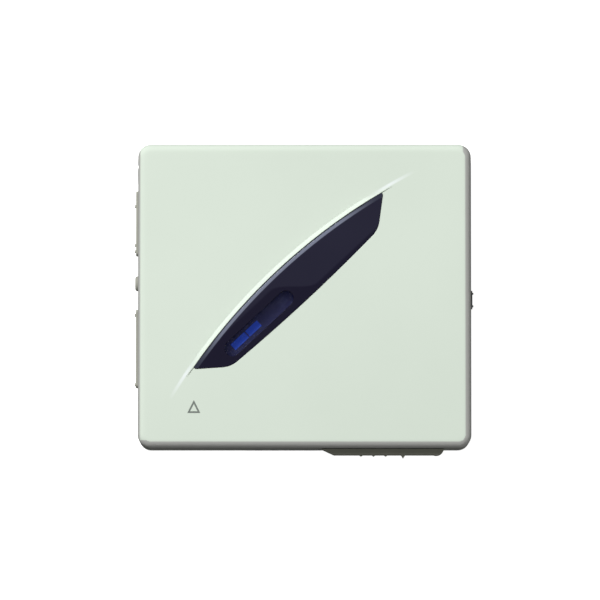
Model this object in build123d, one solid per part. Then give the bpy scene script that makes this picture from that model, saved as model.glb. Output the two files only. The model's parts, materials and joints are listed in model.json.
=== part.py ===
from build123d import *
import math
import os

# Portable disc player, in millimetres. +X is right, +Y is towards the hinge, +Z is up.
# The origin is the centre of the face that the player rests on.

# Case
body_width = 79.0
body_depth = 72.0
corner_radius = 3.0
half_width = body_width / 2
half_depth = body_depth / 2
panel_top = 1.2
panel_chamfer = 0.6
frame_top = 13.85
skirt_bottom = 14.1
lid_under = 15.0
lid_top = 16.3
lid_edge_radius = 1.6
side_wall = 1.2
front_wall = 1.0
rear_wall = 1.1
inner_x = half_width - side_wall
inner_front = front_wall - half_depth
inner_rear = half_depth - rear_wall

# Hinge
hinge_y = 33.6
hinge_z = 13.0
pin_radius = 0.6
pin_x = (36.2, 38.9)
running_gap = 0.05
lid_ear_x = (36.75, 37.65)
holder_ear_x = (36.15, 36.45)
relief_y = 33.0
relief_wall_top = 13.15
relief_skirt_bottom = 14.6
lip_half = 35.6
lip_y = (34.35, 34.8)

# Blade window: u runs along the blade, v across it, both measured from its centre
blade_x = -3.95
blade_y = 3.66
blade_angle = 43.0
blade_half = 30.9
blade_rise = 3.4
heel_u = 23.9
heel_v = -5.85
belly_v = -6.45
heel_radius = 6.0
tip_radius = 0.4
blade_seat = 15.5
blade_ledge = 1.2
blade_gap = 0.04
blade_crown_z = 16.85
blade_crown_radius = 1500.0
blade_tilt = 3.8
bevel_foot_z = 16.65
bevel_slope = 0.45
crest_half = 39.3
crest_end_v = -1.2
crest_rise = 4.4
crest_slope = 0.9
slot_u = -12.0
slot_v = -2.85
slot_length = 21.0
slot_width = 3.7
window_sink = 0.4
window_gap = 0.02

# Disc cartridge and its holder
cartridge_x = (-36.0, 36.0)
cartridge_y = (-34.2, 33.8)
cartridge_bottom = 8.85
cartridge_split = 11.35
cartridge_top = 13.85
cartridge_corner = 0.8
room_z = (10.3, 12.4)
room_sides = 24
disc_sides = 60
disc_centre_y = -0.2
disc_radius = 32.0
disc_z = (10.75, 11.95)
hub_radius = 5.45
hub_z = (10.9, 11.7)
hub_bore = 2.0
shutter_x = (15.0, 36.0)
shutter_y = (-27.0, -9.0)
label_x = (-33.5, 12.0)
label_y = (-30.0, 24.0)
label_depth = 0.1
sheet = 0.3
holder_y = (-33.6, 32.5)
holder_bottom = 8.45
holder_top = (cartridge_top + 0.1, cartridge_top + 0.1 + sheet)
flange_width = 2.85

# Drive
rod_z = 4.9
rod_radius = 0.75
rod_x = (8.6, 37.4)
main_rod_y = -12.0
sub_rod_y = 9.8
screw_y = 13.5
screw_radius = 0.7
screw_x = (6.2, 37.2)
gear_x = (6.4, 7.8)
gear_module = 0.3
gear_teeth = 16
pinion_teeth = 10
tooth_backlash = 0.05
addendum = 0.85
dedendum = 1.25
pressure_angle = math.radians(20)
motor_y = screw_y + gear_module * (gear_teeth + pinion_teeth) / 2
motor_x = (-6.0, 4.6)
motor_radius = 2.5
motor_shaft_radius = 0.39
bracket_foot = 2.3
sled_x = (9.7, 19.7)
sled_y = (-13.6, 11.4)
sled_z = (3.1, 7.5)
lens_x = 14.5
lens_radius = 2.1
lens_z = (7.2, 8.3)
carrier_half = 2.6
spindle_z = (2.6, 7.3)
spindle_radius = 9.0
turntable_radius = 7.0
turntable_z = (8.4, 10.65)
shaft_radius = 0.8
plate_x = (-36.6, 36.6)
plate_y = (-15.6, 33.6)
plate_z = (7.95, 8.25)

# Battery, at the front
battery_x = (-29.8, 37.4)
battery_y = (-33.2, -16.2)
battery_z = (1.8, 7.85)
door_y = (-33.3, -16.2)
door_z = (1.8, 7.85)
door_thickness = 1.1
door_gap = 0.12
door_pin_radius = 0.33

# Keys on the left side
key_z = (4.7, 8.3)
key_mid_z = sum(key_z) / 2
track_key_y = (10.1, 25.5)
volume_key_y = (-21.4, -2.8)
track_nubs = (22.0, 12.7, 11.2)
volume_nubs = (-20.6, -4.0)
key_reach = 0.65
key_corner = 0.5
key_slot_gap = 0.2
key_back_x = -37.9
key_pivot_x = -37.85
key_pivot_radius = 0.4
nub_radius = 0.4
nub_reach = 0.3
play_y = 3.5
play_radius = 1.8
play_reach = 0.85
dome_y = (23.5, 12.0, play_y, -4.8, -19.4)

# Headphone jack, on the left
jack_y = 30.4
jack_z = 5.0
jack_bore = 1.8
jack_body_x = (-38.1, -25.0)
jack_body_y = (27.1, 33.6)
jack_body_z = (2.3, 7.7)
jack_end_x = -26.0
jack_nose_radius = 2.6
jack_ring_radius = 3.2
jack_ring_x = (-39.75, -38.9)

# Front controls
knob_x = (4.0, 33.1)
knob_z = (7.4, 12.6)
knob_reach = 1.55
knob_gap = 0.15
knob_edge = 0.45
knob_ribs = {13.4: 0.3, 16.4: 0.3, 19.3: 0.3, 23.4: 0.75}
shank_x = (14.0, 24.0)
shank_z = (9.0, 11.0)
knob_travel = 4.0
strip_y = (-34.85, -34.55)
strip_x = (-30.0, 31.0)
strip_z = (8.6, 12.4)
claw_x = 26.0
claw_z = (13.3, 13.8)
terminal_x = (-13.9, 3.7)
terminal_z = (2.2, 5.0)
pad_x = (-11.0, -7.0, -3.0, 1.0)

# Hold switch, on the right
hold_y = (-2.6, 1.8)
hold_z = (5.2, 7.8)
hold_travel = 2.0
hold_reach = 0.5

# Screws
boss_radius = 1.6
boss_top = 7.4
boss_places = [(-36.8, -33.4), (-23.0, 33.4), (36.8, 33.4), (36.9, 18.5)]
post_radius = 1.4
post_top = 6.4
post_places = [(-30.0, -12.5), (-30.0, 22.0), (30.0, 20.5), (5.0, -13.6)]
shank_radius = 0.58
head_radius = 1.2
head_seat = 0.7
post_screw_radius = 0.48
bush_radius = 2.1
bush_waist = 1.2
bush_top = plate_z[1] + 0.2
side_screw_z = 6.5
side_screw_y = {1: 29.0, -1: -27.0}
side_head_x = 38.9

# Circuit board
board_x = (-36.4, 37.2)
board_y = (-15.4, 33.9)
board_z = (1.45, 2.25)
chip_top = 3.35


# Shapes that many pieces share


def block(x, y, z):
    size = (x[1] - x[0], y[1] - y[0], z[1] - z[0])
    return Pos(x[0], y[0], z[0]) * Box(*size, align=(Align.MIN, Align.MIN, Align.MIN))


def around(centre, reach):
    return (centre - reach, centre + reach)


def post(x, y, z, radius):
    return Pos(x, y, z[0]) * Cylinder(radius, z[1] - z[0], align=(Align.CENTER, Align.CENTER, Align.MIN))


def bar(x, y, z, radius):
    along_x = Rot(0, 90, 0) * Cylinder(radius, x[1] - x[0], align=(Align.CENTER, Align.CENTER, Align.MIN))
    return Pos(x[0], y, z) * along_x


def stud(x, y, z, radius, sides=8):
    # An upright prism, for small or hidden round forms; radius reaches its corners.
    return Pos(x, y, z[0]) * extrude(RegularPolygon(radius, sides), z[1] - z[0])


def peg(x, y, z, radius, sides=12):
    # The same prism, lying along X.
    return Pos(x[0], y, z) * Rot(0, 90, 0) * extrude(RegularPolygon(radius, sides), x[1] - x[0])


def corner_reach(flat_radius, sides):
    return flat_radius / math.cos(math.pi / sides)


def slab(x, y, z, radius):
    outline = Pos(sum(x) / 2, sum(y) / 2) * RectangleRounded(x[1] - x[0], y[1] - y[0], radius)
    return Pos(0, 0, z[0]) * extrude(outline, z[1] - z[0])


def cut_corners(width, height, cut):
    outline = Rectangle(width, height)
    return chamfer(outline.vertices(), cut)


def slab_x(x, y, z, cut):
    outline = Plane.YZ * Pos(sum(y) / 2, sum(z) / 2) * cut_corners(y[1] - y[0], z[1] - z[0], cut)
    return Pos(x[0], 0, 0) * extrude(outline, x[1] - x[0])


def full_slab(z):
    return slab((-half_width, half_width), (-half_depth, half_depth), z, corner_radius)


def inner_block(z):
    return block((-inner_x, inner_x), (inner_front, inner_rear), z)


def both_sides(shape):
    return shape + mirror(shape, about=Plane.YZ)


def blade_place(shape):
    return Pos(blade_x, blade_y, 0) * Rot(0, 0, blade_angle) * shape


# Case


def bottom_panel():
    panel = full_slab((0, panel_top))
    panel = chamfer(panel.faces().sort_by(Axis.Z)[0].edges(), panel_chamfer)
    for x, y in boss_places:
        panel -= stud(x, y, (0, head_seat), head_radius + 0.15, 12)
        panel -= stud(x, y, (head_seat, panel_top), shank_radius + 0.07)
    for x, y in post_places:
        panel += stud(x, y, (panel_top, post_top), post_radius)
        panel -= stud(x, y, (3.0, post_top), post_screw_radius + 0.02)
    return panel


def boss(x, y):
    outside = stud(x, y, (panel_top, boss_top), boss_radius) & full_slab((panel_top, boss_top))
    return outside - stud(x, y, (panel_top, 5.2), shank_radius + 0.02)


def rear_lip():
    lip = block((-lip_half, lip_half), (lip_y[0], inner_rear + 0.1), (boss_top, frame_top + 0.1))
    return lip - block((-lip_half, lip_half), (lip_y[1], half_depth), (relief_wall_top, frame_top + 0.1))


def side_frame():
    ring = full_slab((panel_top, frame_top)) - inner_block((panel_top, frame_top))
    ring -= block((-half_width, half_width), (relief_y, half_depth), (relief_wall_top, frame_top))
    ring += rear_lip()
    for x, y in boss_places:
        ring += boss(x, y)
    ring -= battery_doorway()
    ring -= front_openings()
    for span in (track_key_y, volume_key_y):
        ring -= key_window(span)
    ring -= peg((-half_width, -inner_x), play_y, key_mid_z, corner_reach(play_radius + 0.1, 24), 24)
    ring -= peg((-half_width, -inner_x), jack_y, jack_z, corner_reach(jack_ring_radius + 0.05, 24), 24)
    ring -= block((inner_x, half_width), (hold_y[0] - 0.2, hold_y[1] + hold_travel + 0.2), hold_z)
    for side in (1, -1):
        ring -= side_screw_hole(side)
    return ring - both_sides(bar((inner_x - 0.1, pin_x[1] + 0.05), hinge_y, hinge_z, pin_radius + 0.01))


def front_openings():
    wall = (-half_depth, inner_front)
    knob_slot = (shank_x[0] - 0.3, shank_x[1] + knob_travel + 0.3)
    return block(knob_slot, wall, (shank_z[0] - 0.2, shank_z[1] + 0.2)) + block(terminal_x, wall, terminal_z)


def key_window(span):
    y = (span[0] - key_slot_gap, span[1] + key_slot_gap)
    z = (key_z[0] - key_slot_gap, key_z[1] + key_slot_gap)
    return slab_x((-half_width, -inner_x), y, z, key_corner)


def door_pivot():
    return (half_width - door_thickness / 2, door_y[1] - door_thickness / 2)


def battery_doorway():
    y = (door_y[0] - door_gap, door_y[1] + door_gap)
    z = (door_z[0] - 0.1, door_z[1] + 0.1)
    socket = stud(*door_pivot(), (z[0] - 0.35, z[1] + 0.6), corner_reach(door_pin_radius + running_gap, 8))
    return block((inner_x, half_width), y, z) + socket


def side_screw_hole(side):
    y = side_screw_y[side]
    recess = peg((side_head_x, half_width), y, side_screw_z, 1.12)
    passage = block((inner_x, half_width), around(y, 0.45), around(side_screw_z, 0.45))
    hole = recess + passage
    return hole if side == 1 else mirror(hole, about=Plane.YZ)


def side_screws():
    screws = Part()
    for side in (1, -1):
        y = side_screw_y[side]
        head = peg((side_head_x, side_head_x + 0.5), y, side_screw_z, 1.0)
        shank = block((37.2, side_head_x), around(y, 0.4), around(side_screw_z, 0.4))
        screw = head + shank
        screws += screw if side == 1 else mirror(screw, about=Plane.YZ)
    return screws


def bottom_screws():
    screws = Part()
    for x, y in boss_places:
        head = stud(x, y, (0.15, head_seat), head_radius, 12)
        screws += head + stud(x, y, (head_seat, 4.8), shank_radius)
    return screws


# Lid


def lid_outer():
    outer = full_slab((skirt_bottom, lid_top))
    return fillet(outer.faces().sort_by(Axis.Z)[-1].edges(), lid_edge_radius)


def blade_outline():
    upper = ThreePointArc((-blade_half, 0), (0, blade_rise), (blade_half, 0))
    right_end = Line((blade_half, 0), (heel_u, heel_v))
    lower = ThreePointArc((heel_u, heel_v), (0, belly_v), (-heel_u, heel_v))
    left_end = Line((-heel_u, heel_v), (-blade_half, 0))
    outline = make_face([upper, right_end, lower, left_end])
    outline = fillet(outline.vertices().sort_by(Axis.Y)[:2], heel_radius)
    across = outline.vertices().sort_by(Axis.X)
    return fillet([across[0], across[-1]], tip_radius)


def arc_radius(half_chord, rise):
    return (half_chord**2 + rise**2) / (2 * rise)


def cone_inside(centre_v, radius, foot_z, slope):
    # A cone that is radius wide at foot_z and narrows upwards by the slope.
    low = foot_z - 1.5
    high = foot_z + 2.5
    bottom_radius = radius + (foot_z - low) / slope
    top_radius = radius - (high - foot_z) / slope
    cone = Cone(bottom_radius, top_radius, high - low, align=(Align.CENTER, Align.CENTER, Align.MIN))
    return Pos(0, centre_v, low) * cone


def crest():
    outer = ThreePointArc((-crest_half, crest_end_v), (0, crest_rise), (crest_half, crest_end_v))
    right_tail = Line((crest_half, crest_end_v), (blade_half, 0))
    inner = ThreePointArc((blade_half, 0), (0, blade_rise), (-blade_half, 0))
    left_tail = Line((-blade_half, 0), (-crest_half, crest_end_v))
    outline = make_face([outer, right_tail, inner, left_tail])
    radius = arc_radius(crest_half, crest_rise - crest_end_v)
    ridge = Pos(0, 0, lid_top - 0.3) * extrude(outline, 1.6)
    return blade_place(ridge & cone_inside(crest_rise - radius, radius, lid_top, crest_slope))


def blade_crown(sink):
    crown = Rot(90, 0, 0) * Cylinder(blade_crown_radius, 30)
    return Pos(0, 0, blade_crown_z - sink) * Rot(blade_tilt, 0, 0) * Pos(0, 0, -blade_crown_radius) * crown


def lid_ears():
    ear = block(lid_ear_x, around(hinge_y, 1.0), (hinge_z - 1.05, lid_under + 0.1))
    ear = chamfer(ear.faces().sort_by(Axis.Z)[0].edges().filter_by(Axis.X), 0.5)
    return both_sides(ear - bar(lid_ear_x, hinge_y, hinge_z, pin_radius + running_gap))


def lid_claws():
    claws = Part()
    y = (inner_front, strip_y[1] + 0.1)
    for x in (-claw_x, claw_x):
        stem = block((x - 1.0, x), y, (claw_z[0], lid_under + 0.1))
        claws += stem + block((x, x + 1.2), y, claw_z)
    return claws


def lid_shell():
    lid = lid_outer()
    lid -= inner_block((skirt_bottom, lid_under))
    lid -= block((-half_width, half_width), (relief_y, half_depth), (skirt_bottom, relief_skirt_bottom))
    lid += crest()
    outline = blade_outline()
    lid -= blade_place(Pos(0, 0, blade_seat) * extrude(outline, 3))
    lid -= blade_place(Pos(0, 0, lid_under - 0.1) * extrude(offset(outline, -blade_ledge), 1))
    return lid + lid_ears() + lid_claws()


def capsule(gap):
    outline = Pos(slot_u, slot_v) * SlotOverall(slot_length - 2 * gap, slot_width - 2 * gap)
    return Pos(0, 0, blade_seat) * extrude(outline, 2.5)


def blade_lens():
    body = Pos(0, 0, blade_seat) * extrude(offset(blade_outline(), -blade_gap), 2.5)
    body &= blade_crown(0)
    radius = arc_radius(blade_half, blade_rise)
    body &= cone_inside(blade_rise - radius, radius, bevel_foot_z, bevel_slope)
    return blade_place(body - capsule(0))


def disc_window():
    return blade_place(capsule(window_gap) & blade_crown(window_sink))


def hinge_pins():
    return both_sides(bar(pin_x, hinge_y, hinge_z, pin_radius))


# Disc cartridge and its holder


def disc_holder():
    top = block((-holder_ear_x[1], holder_ear_x[1]), holder_y, holder_top)
    opening = Pos(-1.5, 1.5, holder_top[0]) * extrude(cut_corners(51, 47, 3.0), sheet)
    flange_x = (holder_ear_x[1] - flange_width, holder_ear_x[1])
    side = block(holder_ear_x, holder_y, (holder_bottom, holder_top[0] + 0.1))
    side += block(flange_x, holder_y, (holder_bottom, holder_bottom + sheet))
    eye = block(holder_ear_x, (holder_y[1] - 0.5, hinge_y + 1.0), around(hinge_z, 1.0))
    side += chamfer(eye.faces().sort_by(Axis.Y)[-1].edges().filter_by(Axis.X), 0.5)
    side -= peg(holder_ear_x, hinge_y, hinge_z, corner_reach(pin_radius + running_gap, 12))
    return top - opening + both_sides(side)


def cartridge_blank(z):
    outline = cut_corners(cartridge_x[1] - cartridge_x[0], cartridge_y[1] - cartridge_y[0], cartridge_corner)
    blank = Pos(0, sum(cartridge_y) / 2, z[0]) * extrude(outline, z[1] - z[0])
    for x in cartridge_x:
        blank -= block(around(x, 0.6), (8, 12), (cartridge_bottom, cartridge_split + 1))
    return blank


def disc_room():
    return stud(0, disc_centre_y, room_z, corner_reach(disc_radius + 0.3, room_sides), room_sides)


def shutter_recess():
    full_height = (cartridge_bottom - 1, cartridge_top + 1)
    kept_height = (cartridge_bottom + sheet, cartridge_top - sheet)
    outer = block((shutter_x[0] - 0.2, shutter_x[1] + 0.1), (shutter_y[0] - 0.2, 9.5), full_height)
    return outer - block((0, shutter_x[1] - sheet), (-40, 40), kept_height)


def cartridge_lower():
    lower = cartridge_blank((cartridge_bottom, cartridge_split)) - disc_room()
    lower -= stud(0, disc_centre_y, (cartridge_bottom, room_z[0]), turntable_radius + 2, room_sides)
    lower -= block((12.0, 34.5), around(0, 7.5), (cartridge_bottom, room_z[0]))
    return lower - shutter_recess()


def cartridge_upper():
    upper = cartridge_blank((cartridge_split, cartridge_top)) - disc_room()
    upper -= block(label_x, label_y, (cartridge_top - label_depth, cartridge_top))
    arrow = make_face(Polyline((20.5, -31.5), (25.5, -31.5), (23.0, -28.6), close=True))
    upper -= Pos(0, 0, cartridge_top - 0.15) * extrude(arrow, 0.2)
    for rib in range(5):
        y = 26.2 + 1.3 * rib
        upper -= block((-30, -12), (y, y + 0.6), (cartridge_top - 0.2, cartridge_top))
    return upper - shutter_recess()


def cartridge_label():
    x = (label_x[0] + 0.05, label_x[1] - 0.05)
    y = (label_y[0] + 0.05, label_y[1] - 0.05)
    return block(x, y, (cartridge_top - label_depth, cartridge_top - 0.02))


def shutter():
    wrap = sheet - 0.05
    core_x = (shutter_x[0], shutter_x[1] - wrap)
    core = block(core_x, shutter_y, (cartridge_bottom + wrap, cartridge_top - wrap))
    return block(shutter_x, shutter_y, (cartridge_bottom, cartridge_top)) - core


def mini_disc():
    disc = stud(0, disc_centre_y, disc_z, disc_radius, disc_sides)
    return disc - stud(0, disc_centre_y, disc_z, hub_radius + 0.03, room_sides)


def disc_hub():
    hub = stud(0, disc_centre_y, hub_z, hub_radius, room_sides)
    return hub - post(0, disc_centre_y, hub_z, hub_bore)


# Drive


def spindle_motor():
    can = stud(0, disc_centre_y, spindle_z, spindle_radius, 24)
    can = chamfer(can.faces().sort_by(Axis.Z)[-1].edges(), 0.5)
    collar = stud(0, disc_centre_y, (spindle_z[1], spindle_z[1] + 0.5), 3.0, 12)
    bore = stud(0, disc_centre_y, (4.0, 8.0), corner_reach(shaft_radius + running_gap, 8))
    return can + collar - bore


def turntable():
    seat = stud(0, disc_centre_y, turntable_z, turntable_radius, 24)
    seat -= stud(0, disc_centre_y, (turntable_z[1] - 0.3, turntable_z[1]), 5.2, 24)
    centre_pin = stud(0, disc_centre_y, (9.7, 11.3), hub_bore - 0.1, 12)
    centre_pin = chamfer(centre_pin.faces().sort_by(Axis.Z)[-1].edges(), 0.4)
    return seat + centre_pin + post(0, disc_centre_y, (4.3, turntable_z[0]), shaft_radius)


def gear_outline(teeth, phase):
    # Involute flanks: each point's half angle follows from the base circle.
    pitch = gear_module * teeth / 2
    base = pitch * math.cos(pressure_angle)
    root = pitch - dedendum * gear_module
    tip = pitch + addendum * gear_module
    roll_at_pitch = math.tan(pressure_angle) - pressure_angle
    half_at_base = math.pi / 2 / teeth - tooth_backlash / 2 / pitch + roll_at_pitch
    flank = []
    for radius in (root, max(base, root + 0.05), tip):
        roll = math.acos(min(1.0, base / radius))
        flank.append((radius, half_at_base - (math.tan(roll) - roll)))
    points = []
    for tooth in range(teeth):
        centre = phase + 2 * math.pi * tooth / teeth
        points += [(radius, centre - half) for radius, half in flank]
        points += [(radius, centre + half) for radius, half in reversed(flank)]
    outline = [(radius * math.sin(turn), radius * math.cos(turn)) for radius, turn in points]
    return make_face(Polyline(*outline, close=True))


def gear(y, teeth, phase, bore):
    wheel = Rot(0, 90, 0) * extrude(gear_outline(teeth, phase), gear_x[1] - gear_x[0])
    return Pos(gear_x[0], y, rod_z) * wheel - peg(gear_x, y, rod_z, corner_reach(bore, 12))


def screw_gear():
    return gear(screw_y, gear_teeth, math.pi / gear_teeth, screw_radius)


def motor_pinion():
    return gear(motor_y, pinion_teeth, math.pi, motor_shaft_radius + 0.01)


def sled_motor():
    bore = peg((-2.0, motor_x[1]), motor_y, rod_z, corner_reach(motor_shaft_radius + running_gap, 8), 8)
    return peg(motor_x, motor_y, rod_z, motor_radius, 24) - bore


def motor_shaft():
    return bar((-1.8, gear_x[1]), motor_y, rod_z, motor_shaft_radius)


def lead_screw():
    return peg(screw_x, screw_y, rod_z, screw_radius - 0.01, 24)


def screw_bearings():
    # The screw drops into a cradle at each end, round below and open above.
    room = screw_radius + 0.04
    bearings = Part()
    for x in ((5.1, 6.1), (36.6, 37.6)):
        stand = block(x, around(screw_y, 1.1), (bracket_foot, rod_z + 0.9))
        stand -= block((screw_x[0] - 0.2, screw_x[1] + 0.1), around(screw_y, room), (rod_z, rod_z + 0.9))
        bearings += stand - peg((screw_x[0] - 0.2, screw_x[1] + 0.1), screw_y, rod_z, corner_reach(room, 12))
    return bearings


def guide_rods():
    return peg(rod_x, main_rod_y, rod_z, rod_radius, 24) + peg(rod_x, sub_rod_y, rod_z, rod_radius, 24)


def rod_clips():
    clips = Part()
    room = rod_radius + 0.01
    for y in (main_rod_y, sub_rod_y):
        for x in ((8.2, 9.4), (36.6, 37.8)):
            clip = block(x, around(y, 1.3), (bracket_foot, 6.2))
            clips += clip - block(x, around(y, room), (rod_z - room, 6.2))
    return clips


def pickup_sled():
    past_ends = (sled_x[0] - 1, sled_x[1] + 1)
    room = rod_radius + running_gap
    sled = block(sled_x, sled_y, sled_z)
    well = carrier_half + 0.4
    sled -= block(around(lens_x, well), around(disc_centre_y, well), (6.3, sled_z[1]))
    sled -= bar(past_ends, main_rod_y, rod_z, room)
    sled -= block(sled_x, (sled_y[0], main_rod_y), (4.4, 5.4))
    sled -= block(past_ends, around(sub_rod_y, room), (sled_z[0], rod_z + room))
    return sled + block((13.5, 16.5), (sled_y[1] - 0.2, screw_y - screw_radius - 0.05), (4.2, 5.6))


def lens_carrier():
    carrier = block(around(lens_x, carrier_half), around(disc_centre_y, carrier_half), (6.6, 7.9))
    return carrier - stud(lens_x, disc_centre_y, (lens_z[0], 7.9), lens_radius + 0.02, 24)


def objective_lens():
    lens = stud(lens_x, disc_centre_y, lens_z, lens_radius, 24)
    return chamfer(lens.faces().sort_by(Axis.Z)[-1].edges(), 0.35, 0.7)


def mechanism_plate():
    plate = block(plate_x, plate_y, plate_z)
    for x, y in boss_places:
        plate -= block(around(x, 2.1), around(y, 2.1), plate_z)
    for x, y in post_places:
        plate -= stud(x, y, plate_z, bush_waist + 0.04, 6)
    plate -= stud(0, disc_centre_y, plate_z, turntable_radius + 0.6, 24)
    plate -= block((9.4, 36.0), around(0, 9.0), plate_z)
    for y in (-6.0, 6.0, 18.0):
        plate -= block((-26, -12), around(y, 2), plate_z)
    plate -= block((3.0, 26.0), (23.5, 28.5), plate_z)
    return plate + block((-33, -31.4), (-8, 16), (plate_z[1], plate_z[1] + 0.15))


def battery_cover():
    cover = block((-33.0, 37.0), (-33.0, -16.4), plate_z)
    for x in (-24, -4, 16):
        cover -= block((x, x + 14), (-27, -22.5), plate_z)
    return cover


def damper_bushes():
    bushes = Part()
    for x, y in post_places:
        bush = stud(x, y, (post_top, plate_z[0]), bush_radius, 6)
        bush += stud(x, y, plate_z, bush_waist, 6)
        bush += stud(x, y, (plate_z[1], bush_top), bush_radius - 0.1, 6)
        bushes += bush - stud(x, y, (post_top, bush_top), 0.6, 6)
    return bushes


def chassis_screws():
    screws = Part()
    for x, y in post_places:
        head = stud(x, y, (bush_top, bush_top + 0.2), 1.4)
        screws += head + stud(x, y, (3.6, bush_top), post_screw_radius)
    return screws


# Electronics


def main_board():
    board = block(board_x, board_y, board_z)
    for x, y in boss_places + post_places:
        board -= block(around(x, 2.0), around(y, 2.0), board_z)
    return board


def board_chips():
    tall = (board_z[1], chip_top)
    chips = block((-28, -18), (-8, 2), tall) + block((-27, -19), (7, 15), tall)
    chips += block((13, 22), (22.5, 30.5), tall)
    for row in range(4):
        chips += block((-15.5, -12.5), (12 + 4 * row, 14.5 + 4 * row), (board_z[1], 3.0))
    return chips


def board_capacitors():
    cans = Part()
    for column in range(3):
        cans += stud(-12 + 5.5 * column, 29.2, (board_z[1], 5.8), 2.2, 12)
    for column in range(6):
        x = 24.5 + 1.8 * column
        cans += block((x, x + 1.1), (26, 28), (board_z[1], 3.1))
    return cans


def headphone_jack():
    body = block(jack_body_x, jack_body_y, jack_body_z)
    nose = peg((-39.3, -38.0), jack_y, jack_z, jack_nose_radius, 24)
    return body + nose - bar((-39.4, jack_end_x), jack_y, jack_z, jack_bore)


def jack_ring():
    ring = bar(jack_ring_x, jack_y, jack_z, jack_ring_radius)
    return ring - peg(jack_ring_x, jack_y, jack_z, jack_nose_radius + 0.02, 24)


def battery():
    cell = block(battery_x, battery_y, battery_z)
    return chamfer(cell.edges().filter_by(Axis.X), 1.0)


def battery_contacts():
    leaves = Part()
    for y in (-29.5, -20.5):
        leaves += block((-32.6, -32.3), around(y, 1.5), (2.0, 7.2))
        leaves += block((-32.3, battery_x[0] - 0.1), around(y, 1.0), (4.3, 4.6))
    return leaves


def battery_divider():
    z = (panel_top, plate_z[0] - 0.05)
    return block((-33.0, 36.9), (-15.95, -15.7), z) + block((-33.0, -32.65), (-34.0, -15.95), z)


def battery_door():
    x = (half_width - door_thickness, half_width)
    pivot = door_pivot()
    door = block(x, (door_y[0], pivot[1]), door_z) + post(*pivot, door_z, door_thickness / 2)
    pins = stud(*pivot, (door_z[0] - 0.4, door_z[1] + 0.6), door_pin_radius)
    catch = block((half_width - 0.5, half_width), (door_y[0], door_y[0] + 1.6), (3.6, 6.1))
    return door + pins - catch


def front_terminal():
    x = (terminal_x[0] + 0.05, terminal_x[1] - 0.05)
    body = block(x, (-36.1, -33.7), (terminal_z[0] + 0.05, terminal_z[1] - 0.05))
    for pad in pad_x:
        body -= block(around(pad, 0.8), (-36.2, -35.6), (3.0, 4.2))
    return body


def terminal_pads():
    pads = Part()
    for pad in pad_x:
        pads += block(around(pad, 0.75), (-35.85, -35.6), (3.05, 4.15))
    return pads


# Controls


def rocker(span, nubs):
    face_x = -half_width - key_reach
    middle = sum(span) / 2
    key = slab_x((face_x, key_back_x), span, key_z, key_corner)
    for y in nubs:
        key += peg((face_x - nub_reach, face_x), y, key_mid_z, nub_radius)
    key += block((key_back_x - 0.3, -37.5), around(middle, 0.7), key_z)
    return key + post(key_pivot_x, middle, (key_z[0] - 0.7, key_z[1] + 0.7), key_pivot_radius)


def track_key():
    return rocker(track_key_y, track_nubs)


def volume_key():
    return rocker(volume_key_y, volume_nubs)


def play_button():
    cap = bar((-half_width - play_reach, -38.0), play_y, key_mid_z, play_radius)
    cap = chamfer(cap.faces().sort_by(Axis.X)[0].edges(), 0.35)
    return cap + peg((-38.1, -37.85), play_y, key_mid_z, play_radius + 0.5)


def key_bracket():
    plate = block((-37.35, -36.95), (-24, 26.6), (3.4, 9.1))
    socket = corner_reach(key_pivot_radius + running_gap, 8)
    for span in (track_key_y, volume_key_y):
        middle = sum(span) / 2
        for z in ((key_z[0] - 0.75, key_z[0] - 0.2), (key_z[1] + 0.2, key_z[1] + 0.75)):
            ear = block((-38.2, -37.3), around(middle, 1.3), z)
            plate += ear - stud(key_pivot_x, middle, z, socket)
    return plate


def key_domes():
    domes = Part()
    for y in dome_y:
        domes += block((-37.5, -37.35), around(y, 1.0), around(key_mid_z, 1.0))
    return domes


def open_knob():
    face = -half_depth - knob_reach
    back = -half_depth - knob_gap
    x0, x1 = knob_x
    slope = Line((x0, back), (x0 + 3.0, face))
    front = Line((x0 + 3.0, face), (x1 - 2.4, face))
    nose = ThreePointArc((x1 - 2.4, face), (x1 - 0.55, face + 0.4), (x1, back))
    outline = make_face([slope, front, nose, Line((x1, back), (x0, back))])
    knob = Pos(0, 0, knob_z[0]) * extrude(outline, knob_z[1] - knob_z[0])
    knob = fillet(knob.faces().sort_by(Axis.Y)[0].edges().filter_by(Axis.X), knob_edge)
    for x, reach in knob_ribs.items():
        knob += grip_rib(x, face, reach)
    return knob + block(shank_x, (back - 0.05, strip_y[0]), shank_z)


def grip_rib(x, face, reach):
    left = (x - 0.55, face + 0.1)
    right = (x + 0.55, face + 0.1)
    outline = make_face(Polyline(left, (x, face - reach), right, close=True))
    return Pos(0, 0, knob_z[0] + 0.6) * extrude(outline, knob_z[1] - knob_z[0] - 1.2)


def latch_strip():
    strip = block(strip_x, strip_y, strip_z)
    strip -= block((-20.0, 8.0), strip_y, (9.6, 11.4))
    for x in (-claw_x, claw_x):
        strip += block((x + 1.6, x + 3.2), strip_y, (strip_z[1], 14.5))
    return strip


def hold_switch():
    face_x = half_width + hold_reach
    knob = slab_x((38.0, face_x), hold_y, (hold_z[0] + 0.2, hold_z[1] - 0.2), 0.5)
    for y in (hold_y[0] + 0.7, hold_y[1] - 0.7):
        knob += block((face_x, face_x + 0.25), around(y, 0.2), (hold_z[0] + 0.6, hold_z[1] - 0.6))
    flange = block((37.9, 38.1), (hold_y[0] - 0.9, hold_y[1] + 0.9), (hold_z[0] - 0.5, hold_z[1] + 0.5))
    return knob + flange


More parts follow.
